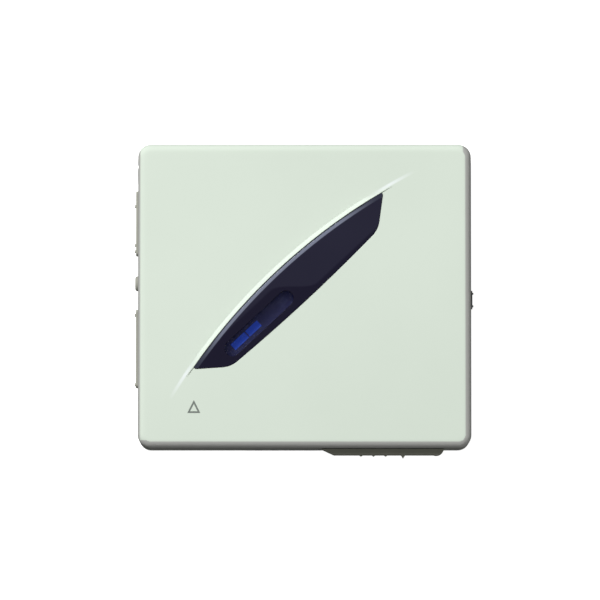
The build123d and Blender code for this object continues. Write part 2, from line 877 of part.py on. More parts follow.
makers = [
    bottom_panel, side_frame, side_screws, bottom_screws, lid_shell, blade_lens, disc_window, hinge_pins,
    disc_holder, cartridge_lower, cartridge_upper, cartridge_label, shutter, mini_disc, disc_hub,
    spindle_motor, turntable, screw_gear, motor_pinion, sled_motor, motor_shaft, lead_screw, screw_bearings,
    guide_rods, rod_clips, pickup_sled, lens_carrier, objective_lens, mechanism_plate, battery_cover,
    damper_bushes, chassis_screws, main_board, board_chips, board_capacitors, headphone_jack, jack_ring,
    battery, battery_contacts, battery_divider, battery_door, front_terminal, terminal_pads, track_key,
    volume_key, play_button, key_bracket, key_domes, open_knob, latch_strip, hold_switch,
]

os.makedirs("parts", exist_ok=True)
for maker in makers:
    export_step(maker(), f"parts/{maker.__name__}.step")
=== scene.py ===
import bpy
import bmesh
import json
import math
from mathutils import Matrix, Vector


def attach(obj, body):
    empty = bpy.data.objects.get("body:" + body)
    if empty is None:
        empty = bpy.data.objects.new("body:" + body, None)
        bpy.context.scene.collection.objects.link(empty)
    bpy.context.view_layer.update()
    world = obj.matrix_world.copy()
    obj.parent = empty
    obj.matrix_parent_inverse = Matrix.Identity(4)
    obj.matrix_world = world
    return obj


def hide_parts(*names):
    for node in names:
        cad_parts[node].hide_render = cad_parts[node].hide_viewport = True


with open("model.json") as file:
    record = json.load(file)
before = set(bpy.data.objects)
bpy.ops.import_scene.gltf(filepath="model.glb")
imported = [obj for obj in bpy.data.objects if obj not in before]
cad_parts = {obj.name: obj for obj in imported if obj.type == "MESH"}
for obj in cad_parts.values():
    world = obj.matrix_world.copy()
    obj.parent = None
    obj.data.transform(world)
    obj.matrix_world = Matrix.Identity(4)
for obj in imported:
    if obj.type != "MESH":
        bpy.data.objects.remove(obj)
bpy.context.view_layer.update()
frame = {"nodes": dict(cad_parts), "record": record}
cadNodes = frame["nodes"]
record = frame["record"]
slotOf = {part["node"]: part["material_slot"] for part in record["subparts"]}
bodyOf = {node: body for body, members in record["behaviour"]["bodies"].items() for node in members}
mm = 0.001
scene = bpy.context.scene
print("frame loaded:", len(cadNodes), "nodes")


def feed(tree, socket, value):
    if isinstance(value, bpy.types.NodeSocket):
        tree.links.new(value, socket)
    else:
        socket.default_value = value


def feedAll(tree, node, feeds):
    for name, value in feeds.items():
        feed(tree, node.inputs[name], value)


# adds a node to a shader or geometry tree, with its settings and what feeds it
def grow(tree, kind, feeds=None, **settings):
    node = tree.nodes.new(kind)
    for name, value in settings.items():
        setattr(node, name, value)
    feedAll(tree, node, feeds or {})
    return node


# turns a 0-255 screen tone into the linear colour that shaders take
def colour(tone):
    shares = [part / 255 for part in tone]
    linear = [((share + 0.055) / 1.055) ** 2.4 if share > 0.04 else share / 12.92 for share in shares]
    return (*linear, 1.0)


def startMaterial(name):
    material = bpy.data.materials.new(name)
    material.use_nodes = True
    tree = material.node_tree
    place = grow(tree, "ShaderNodeTexCoord").outputs["Object"]
    return material, tree, tree.nodes["Principled BSDF"], place


def addNoise(tree, place, scale, detail, stretch=(1, 1, 1)):
    mapping = grow(tree, "ShaderNodeMapping", {"Vector": place, "Scale": stretch})
    feeds = {"Vector": mapping.outputs[0], "Scale": scale, "Detail": detail}
    return grow(tree, "ShaderNodeTexNoise", feeds).outputs["Fac"]


# the default limits suit a noise
def addRange(tree, value, low, high, fromLow=0.3, fromHigh=0.7, smooth=False):
    feeds = {"Value": value, "From Min": fromLow, "From Max": fromHigh, "To Min": low, "To Max": high}
    kind = "SMOOTHSTEP" if smooth else "LINEAR"
    return grow(tree, "ShaderNodeMapRange", feeds, interpolation_type=kind).outputs["Result"]


def addMath(tree, operation, first, second=0.0):
    node = grow(tree, "ShaderNodeMath", operation=operation)
    feed(tree, node.inputs[0], first)
    feed(tree, node.inputs[1], second)
    return node.outputs[0]


# multiplies two or more values
def addProduct(tree, first, *others):
    for other in others:
        first = addMath(tree, "MULTIPLY", first, other)
    return first


def addMix(tree, factor, first, second):
    mix = grow(tree, "ShaderNodeMix", data_type="RGBA")
    for index, value in ((0, factor), (6, first), (7, second)):
        feed(tree, mix.inputs[index], value)
    return mix.outputs[2]


def addBump(tree, height, distance, strength=0.4):
    feeds = {"Height": height, "Distance": distance, "Strength": strength}
    return grow(tree, "ShaderNodeBump", feeds).outputs[0]


# one between low and high, nothing outside
def addBand(tree, value, low, high, soft=0.08):
    above = addRange(tree, value, 0, 1, low - soft, low + soft)
    below = addRange(tree, value, 1, 0, high - soft, high + soft)
    return addProduct(tree, above, below)


# the blade window's middle, turn, half length and the rise of its upper arc, in millimetres and degrees
blade = {"x": -3.95, "y": 3.66, "angle": 43.0, "half": 30.9, "rise": 3.4}
arcRadius = (blade["half"] ** 2 + blade["rise"] ** 2) / 2 / blade["rise"]


# how far a point is along and across the blade window, in millimetres
def addBladePlace(tree, place):
    feeds = {"Vector": place, "Location": (blade["x"] * mm, blade["y"] * mm, 0),
             "Rotation": (0, 0, math.radians(blade["angle"]))}
    mapping = grow(tree, "ShaderNodeMapping", feeds, vector_type="TEXTURE")
    split = grow(tree, "ShaderNodeSeparateXYZ", {"Vector": mapping.outputs[0]}).outputs
    return addMath(tree, "DIVIDE", split["X"], mm), addMath(tree, "DIVIDE", split["Y"], mm)


# how far a point is outside the blade's upper arc, in millimetres
def addPastArc(tree, along, across):
    fromCentre = addMath(tree, "ADD", across, arcRadius - blade["rise"])
    squares = [addMath(tree, "POWER", side, 2.0) for side in (along, fromCentre)]
    return addMath(tree, "SUBTRACT", addMath(tree, "SQRT", addMath(tree, "ADD", *squares)), arcRadius)


# noises are pairs of scale and detail, here and below
wearLook = {"edge": (0.86, 0.985), "patches": (900, 5.0), "patchLimits": (0.42, 0.62)}


# a worn edge is found by comparing the surface's direction with a rounded copy of it
def addWear(tree, place, look):
    rounded = grow(tree, "ShaderNodeBevel", {"Radius": look["wearWidth"] * mm}, samples=4).outputs[0]
    flat = grow(tree, "ShaderNodeNewGeometry").outputs["Normal"]
    compared = grow(tree, "ShaderNodeVectorMath", operation="DOT_PRODUCT")
    feed(tree, compared.inputs[0], rounded)
    feed(tree, compared.inputs[1], flat)
    edge = addRange(tree, compared.outputs["Value"], 1, 0, *wearLook["edge"])
    patchy = addRange(tree, addNoise(tree, place, *wearLook["patches"]), 0, 1, *wearLook["patchLimits"])
    return addProduct(tree, edge, patchy, look["wear"])


# painted highlight: a lighter tone on the slope of the crest, from the blade's upper arc outwards and on
# past both tips, where the light catches it
def addCrestHighlight(tree, place, look):
    along, across = addBladePlace(tree, place)
    slope = addBand(tree, addPastArc(tree, along, across), *look["crestBand"], soft=look["crestSoft"])
    out = addMath(tree, "ABSOLUTE", along)
    swell = addRange(tree, out, look["crestFaint"], 1, *look["crestSwell"])
    return addProduct(tree, slope, swell, addRange(tree, out, 1, 0, *look["crestFade"]))


# one at the outermost millimetres, nothing further in
def addBorder(tree, place, look):
    split = grow(tree, "ShaderNodeSeparateXYZ", {"Vector": place}).outputs
    side = addRange(tree, addMath(tree, "ABSOLUTE", split["X"]), 0, 1, *look["borderSide"])
    end = addRange(tree, addMath(tree, "ABSOLUTE", split["Y"]), 0, 1, *look["borderEnd"])
    return addMath(tree, "MAXIMUM", side, end)


# painted shade: a darker grey on the rolled edge along the front and both sides, below the level where it
# leaves the flat top, while the lit rear edge keeps the pale tone
def addEdgeShade(tree, place, look):
    split = grow(tree, "ShaderNodeSeparateXYZ", {"Vector": place}).outputs
    shifted = addMath(tree, "ADD", split["X"], look["edgeShift"])
    side = addRange(tree, addMath(tree, "ABSOLUTE", shifted), 0, 1, *look["edgeSide"])
    front = addRange(tree, split["Y"], 0, 1, *look["edgeFront"])
    level = addRange(tree, split["Z"], 0, 1, *look["edgeLevel"])
    return addProduct(tree, addMath(tree, "MAXIMUM", side, front), level)


# what a finish has where it names nothing else
plainFinish = {"stretch": (1, 1, 1), "cloudScale": 60, "cloudDetail": 4.0, "grainScale": 3000,
               "grainDetail": 2.0, "grainDepth": 0.00001, "metallic": 0.0, "specular": 0.5, "coat": 0.0,
               "coatRough": 0.1}

# tones run from 0 to 255 and noise scales are per metre; wearWidth and the crest's values are in
# millimetres, other sizes in metres
finishes = {
    "lid_finish": {"tone": (221, 232, 219), "tone2": (217, 228, 215), "rough": (0.36, 0.46),
                   "specular": 0.0, "cloudScale": 22, "grainScale": 6000, "grainDepth": 0.000004,
                   "wear": 0.5, "wearWidth": 0.25, "wearTone": (236, 240, 236),
                   "crestHighlightTone": (242, 250, 248), "crestBand": (0.3, 1.0), "crestSoft": 0.15,
                   "crestFaint": 0.2, "crestSwell": (29, 33), "crestFade": (33, 39.6),
                   "edgeShadeTone": (178, 179, 175), "edgeShift": 0.0007, "edgeSide": (0.0381, 0.03845),
                   "edgeFront": (-0.0341, -0.0344), "edgeLevel": (0.016299, 0.01627),
                   "soften": 0.0015, "borderSide": (0.0358, 0.0368), "borderEnd": (0.0323, 0.0333)},
    "case_finish": {"tone": (164, 166, 161), "tone2": (156, 158, 153), "rough": (0.34, 0.44),
                    "specular": 0.0, "grainScale": 5000, "grainDepth": 0.000005,
                    "wear": 0.6, "wearWidth": 0.25, "wearTone": (188, 189, 186)},
    "steel": {"tone": (196, 196, 192), "tone2": (178, 179, 178), "rough": (0.24, 0.36), "metallic": 1.0,
              "stretch": (1, 12, 12), "grainScale": 900},
    "dark_screw": {"tone": (46, 46, 48), "tone2": (62, 62, 64), "rough": (0.3, 0.45), "metallic": 0.9,
                   "wear": 0.8, "wearWidth": 0.08, "wearTone": (120, 118, 112)},
    "black_plastic": {"tone": (26, 26, 28), "tone2": (32, 32, 34), "rough": (0.45, 0.6),
                      "grainDepth": 0.00002},
    "grey_plastic": {"tone": (120, 121, 118), "tone2": (110, 111, 109), "rough": (0.45, 0.6)},
    "key_silver": {"tone": (175, 176, 165), "tone2": (166, 167, 157), "rough": (0.28, 0.38),
                   "specular": 0.0, "wear": 0.6, "wearWidth": 0.15, "wearTone": (205, 206, 198)},
    "knob_grey": {"tone": (146, 147, 134), "tone2": (138, 139, 127), "rough": (0.3, 0.4),
                  "specular": 0.0, "wear": 0.6, "wearWidth": 0.12, "wearTone": (186, 187, 174)},
    "cartridge_shell": {"tone": (52, 56, 66), "tone2": (60, 64, 74), "rough": (0.25, 0.4), "coat": 0.1},
    "disc_mirror": {"tone": (200, 196, 208), "tone2": (170, 160, 190), "rough": (0.08, 0.16),
                    "metallic": 1.0},
    "brass": {"tone": (200, 165, 95), "tone2": (180, 145, 80), "rough": (0.25, 0.35), "metallic": 1.0},
    "white_plastic": {"tone": (228, 226, 216), "tone2": (218, 216, 206), "rough": (0.4, 0.5)},
    "chip_black": {"tone": (30, 30, 31), "tone2": (36, 36, 37), "rough": (0.5, 0.65)},
    "can_silver": {"tone": (205, 206, 208), "tone2": (190, 191, 194), "rough": (0.25, 0.35),
                   "metallic": 1.0},
    "rubber": {"tone": (24, 24, 24), "tone2": (30, 30, 30), "rough": (0.7, 0.85)},
    "gold": {"tone": (222, 184, 98), "tone2": (210, 170, 86), "rough": (0.2, 0.3), "metallic": 1.0},
    "lens_glass": {"tone": (120, 130, 170), "tone2": (110, 120, 165), "rough": (0.03, 0.06), "coat": 1.0},
    "cell_wrap": {"tone": (58, 118, 74), "tone2": (52, 108, 68), "rough": (0.25, 0.35), "coat": 0.3},
    "mark_ink": {"tone": (104, 112, 106), "tone2": (118, 125, 118), "rough": (0.5, 0.6), "cloudScale": 900},
}


def makeFinish(name, changes):
    look = {**plainFinish, **changes}
    material, tree, shader, place = startMaterial(name)
    cloud = addNoise(tree, place, look["cloudScale"], look["cloudDetail"], look["stretch"])
    grain = addNoise(tree, place, look["grainScale"], look["grainDetail"], look["stretch"])
    blended = addMix(tree, addRange(tree, cloud, 0, 1), colour(look["tone"]), colour(look["tone2"]))
    # wear is the finish's own colour; the crest tone is a painted highlight and the edge tone is painted
    # shade
    for tone, addShare in (("wearTone", addWear), ("crestHighlightTone", addCrestHighlight), ("edgeShadeTone", addEdgeShade)):
        if tone in look:
            blended = addMix(tree, addShare(tree, place, look), blended, colour(look[tone]))
    bump = addBump(tree, grain, look["grainDepth"])
    if "soften" in look:
        width = addProduct(tree, addBorder(tree, place, look), look["soften"])
        rounded = grow(tree, "ShaderNodeBevel", {"Radius": width}, samples=8).outputs["Normal"]
        feed(tree, bump.node.inputs["Normal"], rounded)
    feedAll(tree, shader, {
        "Base Color": blended, "Roughness": addRange(tree, grain, *look["rough"]), "Normal": bump,
        "Metallic": look["metallic"], "Specular IOR Level": look["specular"],
        "Coat Weight": look["coat"], "Coat Roughness": look["coatRough"]})
    return material


# the smears and the small relief of a surface
def addSurface(tree, shader, place, look):
    smear = addNoise(tree, place, *look["smear"])
    relief = addBump(tree, addNoise(tree, place, *look["relief"]), look["depth"], look["strength"])
    feedAll(tree, shader, {"Roughness": addRange(tree, smear, *look["rough"]), "Normal": relief})


# the blade is deep navy, lighter beyond a curved line across it, with a painted highlight along its upper
# rim that is brightest in the middle and dims towards the tips
bladeLook = {"deep": (18, 15, 38), "pale": (34, 33, 52), "swing": (-5, 5), "lineHigh": 1.0, "lineDrop": 6.2,
             "lineSoft": 0.35, "cloud": (80, 2.0), "cloudShade": (0.85, 1.0), "rimDim": (50, 52, 68),
             "rimHighlight": (124, 129, 148), "rimWide": 1.0, "rimSoft": 0.1, "rimFade": (17, 30),
             "specular": 0.1, "rough": (0.07, 0.13), "smear": (260, 4.0), "relief": (500, 2.0),
             "depth": 0.000002, "strength": 0.3}


def makeBlade(name):
    look = bladeLook
    material, tree, shader, place = startMaterial(name)
    along, across = addBladePlace(tree, place)
    drop = addRange(tree, along, 0, look["lineDrop"], *look["swing"], smooth=True)
    above = addMath(tree, "SUBTRACT", across, addMath(tree, "SUBTRACT", look["lineHigh"], drop))
    beyond = addRange(tree, above, 0, 1, -look["lineSoft"], look["lineSoft"], smooth=True)
    cloud = addRange(tree, addNoise(tree, place, *look["cloud"]), *look["cloudShade"])
    body = addMix(tree, addProduct(tree, beyond, cloud), colour(look["deep"]), colour(look["pale"]))
    # painted highlight: a band inside the upper arc, lighter where the polished rim would catch the light
    inner, soft = -look["rimWide"], look["rimSoft"]
    rim = addRange(tree, addPastArc(tree, along, across), 0, 1, inner - soft, inner + soft)
    fade = addRange(tree, addMath(tree, "ABSOLUTE", along), 1, 0, *look["rimFade"], smooth=True)
    rimHighlightTone = addMix(tree, fade, colour(look["rimDim"]), colour(look["rimHighlight"]))
    feedAll(tree, shader, {"Base Color": addMix(tree, rim, body, rimHighlightTone),
                           "Specular IOR Level": look["specular"]})
    addSurface(tree, shader, place, look)
    return material


# the label shows through the window as a dark band with a bright two-part bar and fine slanted dashes; the
# bar also glows a little, painted light that brightens it beyond what the lamps give through the window
labelLook = {"paper": (34, 58, 150), "band": (20, 25, 80), "bar": (50, 100, 255), "dim": (46, 52, 100),
             "bandAcross": (-6.5, 0.6), "barAlong": (-20.3, -11.8), "barAcross": (-3.55, -1.8),
             "breakAlong": (-15.9, -15.6), "patchAlong": (-5.6, -3.2), "barPaintedGlow": 0.13,
             "patchSoft": (0.4, 0.3), "dashAcross": (-1.6, -1.2), "dashSoft": 0.05, "dashSlant": 0.5,
             "dashPitch": 0.45, "dashLimits": (0.30, 0.36), "dashShare": 0.5,
             "fibre": (1500, 4.0), "fibreShade": (0.88, 1.0),
             "rough": (0.4, 0.55), "smear": (600, 3.0), "relief": (2500, 3.0), "depth": 0.000006,
             "strength": 0.4}


def makeLabel(name):
    look = labelLook
    material, tree, shader, place = startMaterial(name)
    along, across = addBladePlace(tree, place)
    slanted = addMath(tree, "ADD", along, addProduct(tree, across, look["dashSlant"]))
    swept = addMath(tree, "PINGPONG", slanted, look["dashPitch"])
    dashes = addProduct(tree, addBand(tree, across, *look["dashAcross"], soft=look["dashSoft"]),
                        addRange(tree, swept, 0, look["dashShare"], *look["dashLimits"]))
    gap = addMath(tree, "SUBTRACT", 1.0, addBand(tree, along, *look["breakAlong"]))
    bar = addProduct(tree, addBand(tree, along, *look["barAlong"]),
                     addBand(tree, across, *look["barAcross"]), gap)
    softAlong, softAcross = look["patchSoft"]
    patch = addProduct(tree, addBand(tree, along, *look["patchAlong"], soft=softAlong),
                       addBand(tree, across, *look["barAcross"], soft=softAcross))
    band = addBand(tree, across, *look["bandAcross"])
    body = colour(look["paper"])
    for share, tone in ((band, "band"), (dashes, "dim"), (bar, "bar"), (patch, "dim")):
        body = addMix(tree, share, body, colour(look[tone]))
    toned = grow(tree, "ShaderNodeVectorMath", operation="SCALE")
    feed(tree, toned.inputs[0], body)
    fibre = addNoise(tree, place, *look["fibre"])
    feed(tree, toned.inputs["Scale"], addRange(tree, fibre, *look["fibreShade"]))
    # painted light: the bar's emission stands in for lamp light that the narrow window keeps from it
    feedAll(tree, shader, {"Base Color": toned.outputs[0], "Emission Color": colour(look["bar"]),
                           "Emission Strength": addProduct(tree, bar, look["barPaintedGlow"])})
    addSurface(tree, shader, place, look)
    return material


# the cover is how much the tint hides of what is behind the pane
paneLook = {"tone": (12, 14, 66), "tone2": (16, 18, 76), "cloud": (120, 2.0), "cover": 0.14,
            "specular": 0.06, "rough": (0.04, 0.1), "smear": (400, 3.0), "relief": (400, 3.0),
            "depth": 0.000002, "strength": 0.2}


def makePane(name):
    look = paneLook
    material, tree, shader, place = startMaterial(name)
    cloud = addNoise(tree, place, *look["cloud"])
    feedAll(tree, shader, {"Base Color": addMix(tree, cloud, colour(look["tone"]), colour(look["tone2"])),
                           "Alpha": look["cover"], "Specular IOR Level": look["specular"]})
    addSurface(tree, shader, place, look)
    return material


boardLook = {"mask": (26, 84, 54), "copper": (44, 112, 76), "gridScale": 120.0, "trackWidth": 0.03,
             "wander": (90, 2.0), "wanderLimits": (0.48, 0.52), "trackHeight": 0.00003, "strength": 0.5,
             "rough": (0.28, 0.42), "smear": (700, 2.0)}


def makeBoard(name):
    look = boardLook
    material, tree, shader, place = startMaterial(name)
    feeds = {"Vector": place, "Scale": look["gridScale"], "Mortar Size": look["trackWidth"]}
    grid = grow(tree, "ShaderNodeTexBrick", feeds).outputs["Fac"]
    wander = addRange(tree, addNoise(tree, place, *look["wander"]), 0, 1, *look["wanderLimits"])
    tracks = addProduct(tree, grid, wander)
    feedAll(tree, shader, {
        "Base Color": addMix(tree, tracks, colour(look["mask"]), colour(look["copper"])),
        "Roughness": addRange(tree, addNoise(tree, place, *look["smear"]), *look["rough"]),
        "Normal": addBump(tree, tracks, look["trackHeight"], look["strength"])})
    return material


materials = {slot: makeFinish(slot, look) for slot, look in finishes.items()}
materials["blade_gloss"] = makeBlade("blade_gloss")
materials["label_paper"] = makeLabel("label_paper")
materials["smoked_clear"] = makePane("smoked_clear")
materials["board_green"] = makeBoard("board_green")
print("materials made:", len(materials))


def setMaterial(thing, material):
    thing.data.materials.clear()
    thing.data.materials.append(material)


def addObject(name, data):
    made = bpy.data.objects.new(name, data)
    scene.collection.objects.link(made)
    return made


def bakeModifiers(thing):
    shaped = thing.evaluated_get(bpy.context.evaluated_depsgraph_get())
    mesh = bpy.data.meshes.new_from_object(shaped)
    thing.modifiers.clear()
    thing.data = mesh


# a node whose finish isn't the one of its slot
ownFinish = {"open_knob": "knob_grey"}


def standFor(piece, node):
    setMaterial(piece, materials[ownFinish.get(node, slotOf[node])])
    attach(piece, bodyOf[node])
    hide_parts(node)


# edge widths and tails are in millimetres, limits in degrees; a node that isn't named takes the plain one
dressing = {
    "plain": {"width": 0.05, "steps": 2, "limit": 40},
    "lid_shell": {"width": 0.12, "steps": 3, "limit": 40,
                  "tails": {"top": 16.3, "start": 25.0, "full": 33.0}},
    "side_frame": {"width": 0.1, "steps": 2, "limit": 40},
    "bottom_panel": {"width": 0.1, "steps": 2, "limit": 40},
    "track_key": {"width": 0.22, "steps": 3, "limit": 30, "clamp": True},
    "volume_key": {"width": 0.22, "steps": 3, "limit": 30, "clamp": True},
    "play_button": {"width": 0.12, "steps": 3, "limit": 30},
    "open_knob": {"width": 0.1, "steps": 2, "limit": 32, "clamp": True},
    "hold_switch": {"width": 0.1, "steps": 3, "limit": 30},
    "battery_door": {"width": 0.08, "steps": 2, "limit": 40},
    "cartridge_label": {"width": 0.02, "steps": 1, "limit": 40},
    "cartridge_upper": {"width": 0.04, "steps": 1, "limit": 40},
    "battery": {"width": 0.6, "steps": 4, "limit": 30},
}
fromScratch = ["bottom_screws", "side_screws", "chassis_screws", "lead_screw"]
joining = {"twins": 0.5e-6, "slivers": 2e-6, "cut": 1e-7, "aboveTop": 0.01}  # metres, and aboveTop in mm
levelAngle = math.radians(0.4)  # faces that turn by less are merged


# the crest runs out level with the top soon after both tips of the blade
def easeTails(work, top, start, full):
    turn = math.radians(blade["angle"])
    axis = Vector((math.cos(turn), math.sin(turn), 0))
    foot = Vector((blade["x"], blade["y"], 0))

    def reach(vertex):
        return (vertex.co / mm - foot).dot(axis)

    def raised():
        return [v for v in work.verts if v.co.z / mm > top + joining["aboveTop"] and abs(reach(v)) > start]

    # a cut across the crest at each outer vertex keeps its faces flat when they come down
    for place in sorted(reach(vertex) for vertex in raised() if abs(reach(vertex)) > full):
        faces = list(dict.fromkeys(face for vertex in raised() for face in vertex.link_faces))
        edges = list(dict.fromkeys(edge for face in faces for edge in face.edges))
        corners = list(dict.fromkeys(vertex for face in faces for vertex in face.verts))
        bmesh.ops.bisect_plane(work, geom=faces + edges + corners, dist=joining["cut"],
                               plane_co=(foot + axis * place) * mm, plane_no=axis)
    for vertex in raised():
        done = min(1.0, (abs(reach(vertex)) - start) / (full - start))
        vertex.co.z = (top + (vertex.co.z / mm - top) * (1 - done)) * mm
    bmesh.ops.remove_doubles(work, verts=work.verts, dist=joining["slivers"])
    bmesh.ops.dissolve_degenerate(work, dist=joining["slivers"], edges=work.edges)


def dressNode(node, soft):
    mesh = cadNodes[node].data.copy()
    work = bmesh.new()
    work.from_mesh(mesh)
    bmesh.ops.remove_doubles(work, verts=work.verts, dist=joining["twins"])
    if "tails" in soft:
        easeTails(work, **soft["tails"])
    bmesh.ops.dissolve_limit(work, angle_limit=levelAngle, verts=work.verts, edges=work.edges)
    work.to_mesh(mesh)
    work.free()
    mesh.shade_smooth()
    mesh.set_sharp_from_angle(angle=math.radians(soft["limit"]))
    dressed = addObject(node + "Dressed", mesh)
    bevel = dressed.modifiers.new("softEdge", "BEVEL")
    bevel.width = soft["width"] * mm
    bevel.segments = soft["steps"]
    bevel.limit_method = "ANGLE"
    bevel.angle_limit = math.radians(soft["limit"])
    bevel.use_clamp_overlap = soft.get("clamp", False)
    weighted = dressed.modifiers.new("evenShade", "WEIGHTED_NORMAL")
    weighted.weight = 100
    weighted.keep_sharp = False
    bakeModifiers(dressed)
    standFor(dressed, node)


for node in cadNodes:
    if node not in fromScratch:
        dressNode(node, dressing.get(node, dressing["plain"]))
print("nodes dressed:", len(cadNodes) - len(fromScratch))


def startTree(name, inputs):
    tree = bpy.data.node_groups.new(name, "GeometryNodeTree")
    tree.interface.new_socket("Geometry", in_out="INPUT", socket_type="NodeSocketGeometry")
    tree.interface.new_socket("Geometry", in_out="OUTPUT", socket_type="NodeSocketGeometry")
    for label, kind in inputs.items():
        tree.interface.new_socket(label, in_out="INPUT", socket_type="NodeSocket" + kind)
    return tree, tree.nodes.new("NodeGroupInput").outputs


def endTree(tree, geometry, given):
    whole = grow(tree, "GeometryNodeRealizeInstances", {"Geometry": geometry}).outputs[0]
    finished = grow(tree, "GeometryNodeSetMaterial", {"Geometry": whole, "Material": given["Material"]})
    feed(tree, tree.nodes.new("NodeGroupOutput").inputs["Geometry"], finished.outputs[0])


def addVector(tree, x=0.0, y=0.0, z=0.0):
    return grow(tree, "ShaderNodeCombineXYZ", {"X": x, "Y": y, "Z": z}).outputs[0]


def addRaised(tree, geometry, height):
    feeds = {"Geometry": geometry, "Translation": addVector(tree, z=height)}
    return grow(tree, "GeometryNodeTransform", feeds).outputs[0]


def addRod(tree, radius, length, sides):
    feeds = {"Vertices": sides, "Radius": radius, "Depth": length}
    return grow(tree, "GeometryNodeMeshCylinder", feeds).outputs["Mesh"]


def addJoin(tree, *shapes):
    join = tree.nodes.new("GeometryNodeJoinGeometry")
    for shape in shapes:
        feed(tree, join.inputs[0], shape)
    return join.outputs[0]


def addBoolean(tree, operation, shapes, whole=None):
    feeds = {} if whole is None else {"Mesh 1": whole}
    node = grow(tree, "GeometryNodeMeshBoolean", feeds, operation=operation)
    for shape in shapes:
        feed(tree, node.inputs["Mesh 2"], shape)
    return node.outputs[0]


# shares of the head's radius, and sides of the round parts
screwShape = {"crown": 0.8, "armReach": 1.15, "headSides": 40, "shankSides": 24}


# a screw's head with a sloping crown and a cross cut into it, on a plain shank
def makeScrewTree():
    tree, given = startTree("crossScrew", {
        "Head Radius": "Float", "Head Height": "Float", "Shank Radius": "Float", "Shank Length": "Float",
        "Recess Width": "Float", "Recess Depth": "Float", "Seed": "Int", "Material": "Material"})
    half = addProduct(tree, given["Head Height"], 0.5)
    headSides = screwShape["headSides"]
    rim = addRaised(tree, addRod(tree, given["Head Radius"], half, headSides), addProduct(tree, half, 0.5))
    crownTop = addProduct(tree, given["Head Radius"], screwShape["crown"])
    crownFeeds = {"Vertices": headSides, "Radius Top": crownTop, "Radius Bottom": given["Head Radius"],
                  "Depth": half}
    crown = addRaised(tree, grow(tree, "GeometryNodeMeshCone", crownFeeds).outputs["Mesh"], half)
    wide = addProduct(tree, given["Head Radius"], screwShape["armReach"])
    deep = addProduct(tree, given["Recess Depth"], 2.0)
    cuts = []
    for sides in ((wide, given["Recess Width"]), (given["Recess Width"], wide)):
        cut = grow(tree, "GeometryNodeMeshCube", {"Size": addVector(tree, *sides, deep)}).outputs["Mesh"]
        cuts.append(addRaised(tree, cut, given["Head Height"]))
    crossed = addBoolean(tree, "DIFFERENCE", cuts, addBoolean(tree, "UNION", (rim, crown)))
    shankRod = addRod(tree, given["Shank Radius"], given["Shank Length"], screwShape["shankSides"])
    shank = addRaised(tree, shankRod, addProduct(tree, given["Shank Length"], -0.5))
    spin = grow(tree, "FunctionNodeRandomValue", {"Seed": given["Seed"]}, data_type="FLOAT")
    spin.inputs[3].default_value = math.pi / 2  # the largest turn of the cross
    facing = grow(tree, "GeometryNodeInputNamedAttribute", {"Name": "facing"}, data_type="FLOAT_VECTOR")
    started = grow(tree, "FunctionNodeEulerToRotation", {"Euler": addVector(tree, z=spin.outputs[1])})
    aimed = grow(tree, "FunctionNodeAlignRotationToVector",
                 {"Rotation": started.outputs[0], "Vector": facing.outputs["Attribute"]}, axis="Z")
    whole = addJoin(tree, crossed, shank)
    placed = grow(tree, "GeometryNodeInstanceOnPoints",
                  {"Points": given["Geometry"], "Instance": whole, "Rotation": aimed.outputs[0]})
    endTree(tree, placed.outputs[0], given)
    return tree


threadShape = {"turnSteps": 24, "wireSides": 6, "rodSides": 40}


# a thread wound round a core, with a plain journal at each end, laid along X
def makeThreadTree():
    tree, given = startTree("leadThread", {
        "Core Radius": "Float", "Thread Radius": "Float", "Lead": "Float", "Thread Length": "Float",
        "Journal Start": "Float", "Journal End": "Float", "Material": "Material"})
    long = given["Thread Length"]
    spiral = grow(tree, "GeometryNodeCurveSpiral", {
        "Resolution": threadShape["turnSteps"], "Rotations": addMath(tree, "DIVIDE", long, given["Lead"]),
        "Start Radius": given["Core Radius"], "End Radius": given["Core Radius"], "Height": long})
    wire = addMath(tree, "SUBTRACT", given["Thread Radius"], given["Core Radius"])
    wireFeeds = {"Resolution": threadShape["wireSides"], "Radius": wire}
    profile = grow(tree, "GeometryNodeCurvePrimitiveCircle", wireFeeds, mode="RADIUS")
    thread = grow(tree, "GeometryNodeCurveToMesh", {
        "Curve": spiral.outputs[0], "Profile Curve": profile.outputs["Curve"], "Fill Caps": True})
    sides = threadShape["rodSides"]
    core = addRaised(tree, addRod(tree, given["Core Radius"], long, sides), addProduct(tree, long, 0.5))
    startRod = addRaised(tree, addRod(tree, given["Thread Radius"], given["Journal Start"], sides),
                         addProduct(tree, given["Journal Start"], -0.5))
    endRod = addRaised(tree, addRod(tree, given["Thread Radius"], given["Journal End"], sides),
                       addMath(tree, "ADD", long, addProduct(tree, given["Journal End"], 0.5)))
    turned = grow(tree, "FunctionNodeEulerToRotation", {"Euler": (0, math.pi / 2, 0)}).outputs[0]
    whole = addJoin(tree, thread.outputs[0], core, startRod, endRod)
    placed = grow(tree, "GeometryNodeInstanceOnPoints",
                  {"Points": given["Geometry"], "Instance": whole, "Rotation": turned})
    endTree(tree, placed.outputs[0], given)
    return tree


sharpAbove = math.radians(32)


# runs a tree on a few points, each with the direction that it faces, and keeps the plain mesh
def buildFrom(tree, name, points, values):
    mesh = bpy.data.meshes.new(name)
    mesh.from_pydata([Vector(place) * mm for place, facing in points], [], [])
    directions = mesh.attributes.new("facing", "FLOAT_VECTOR", "POINT")
    for index, (place, facing) in enumerate(points):
        directions.data[index].vector = facing
    piece = addObject(name, mesh)
    modifier = piece.modifiers.new("nodes", "NODES")
    modifier.node_group = tree
    sockets = {item.name: item.identifier for item in tree.interface.items_tree if item.in_out == "INPUT"}
    for label, value in values.items():
        modifier[sockets[label]] = value
    bakeModifiers(piece)
    work = bmesh.new()
    work.from_mesh(piece.data)
    bmesh.ops.recalc_face_normals(work, faces=work.faces)
    work.to_mesh(piece.data)
    work.free()
    piece.data.shade_smooth()
    piece.data.set_sharp_from_angle(angle=sharpAbove)
    return piece


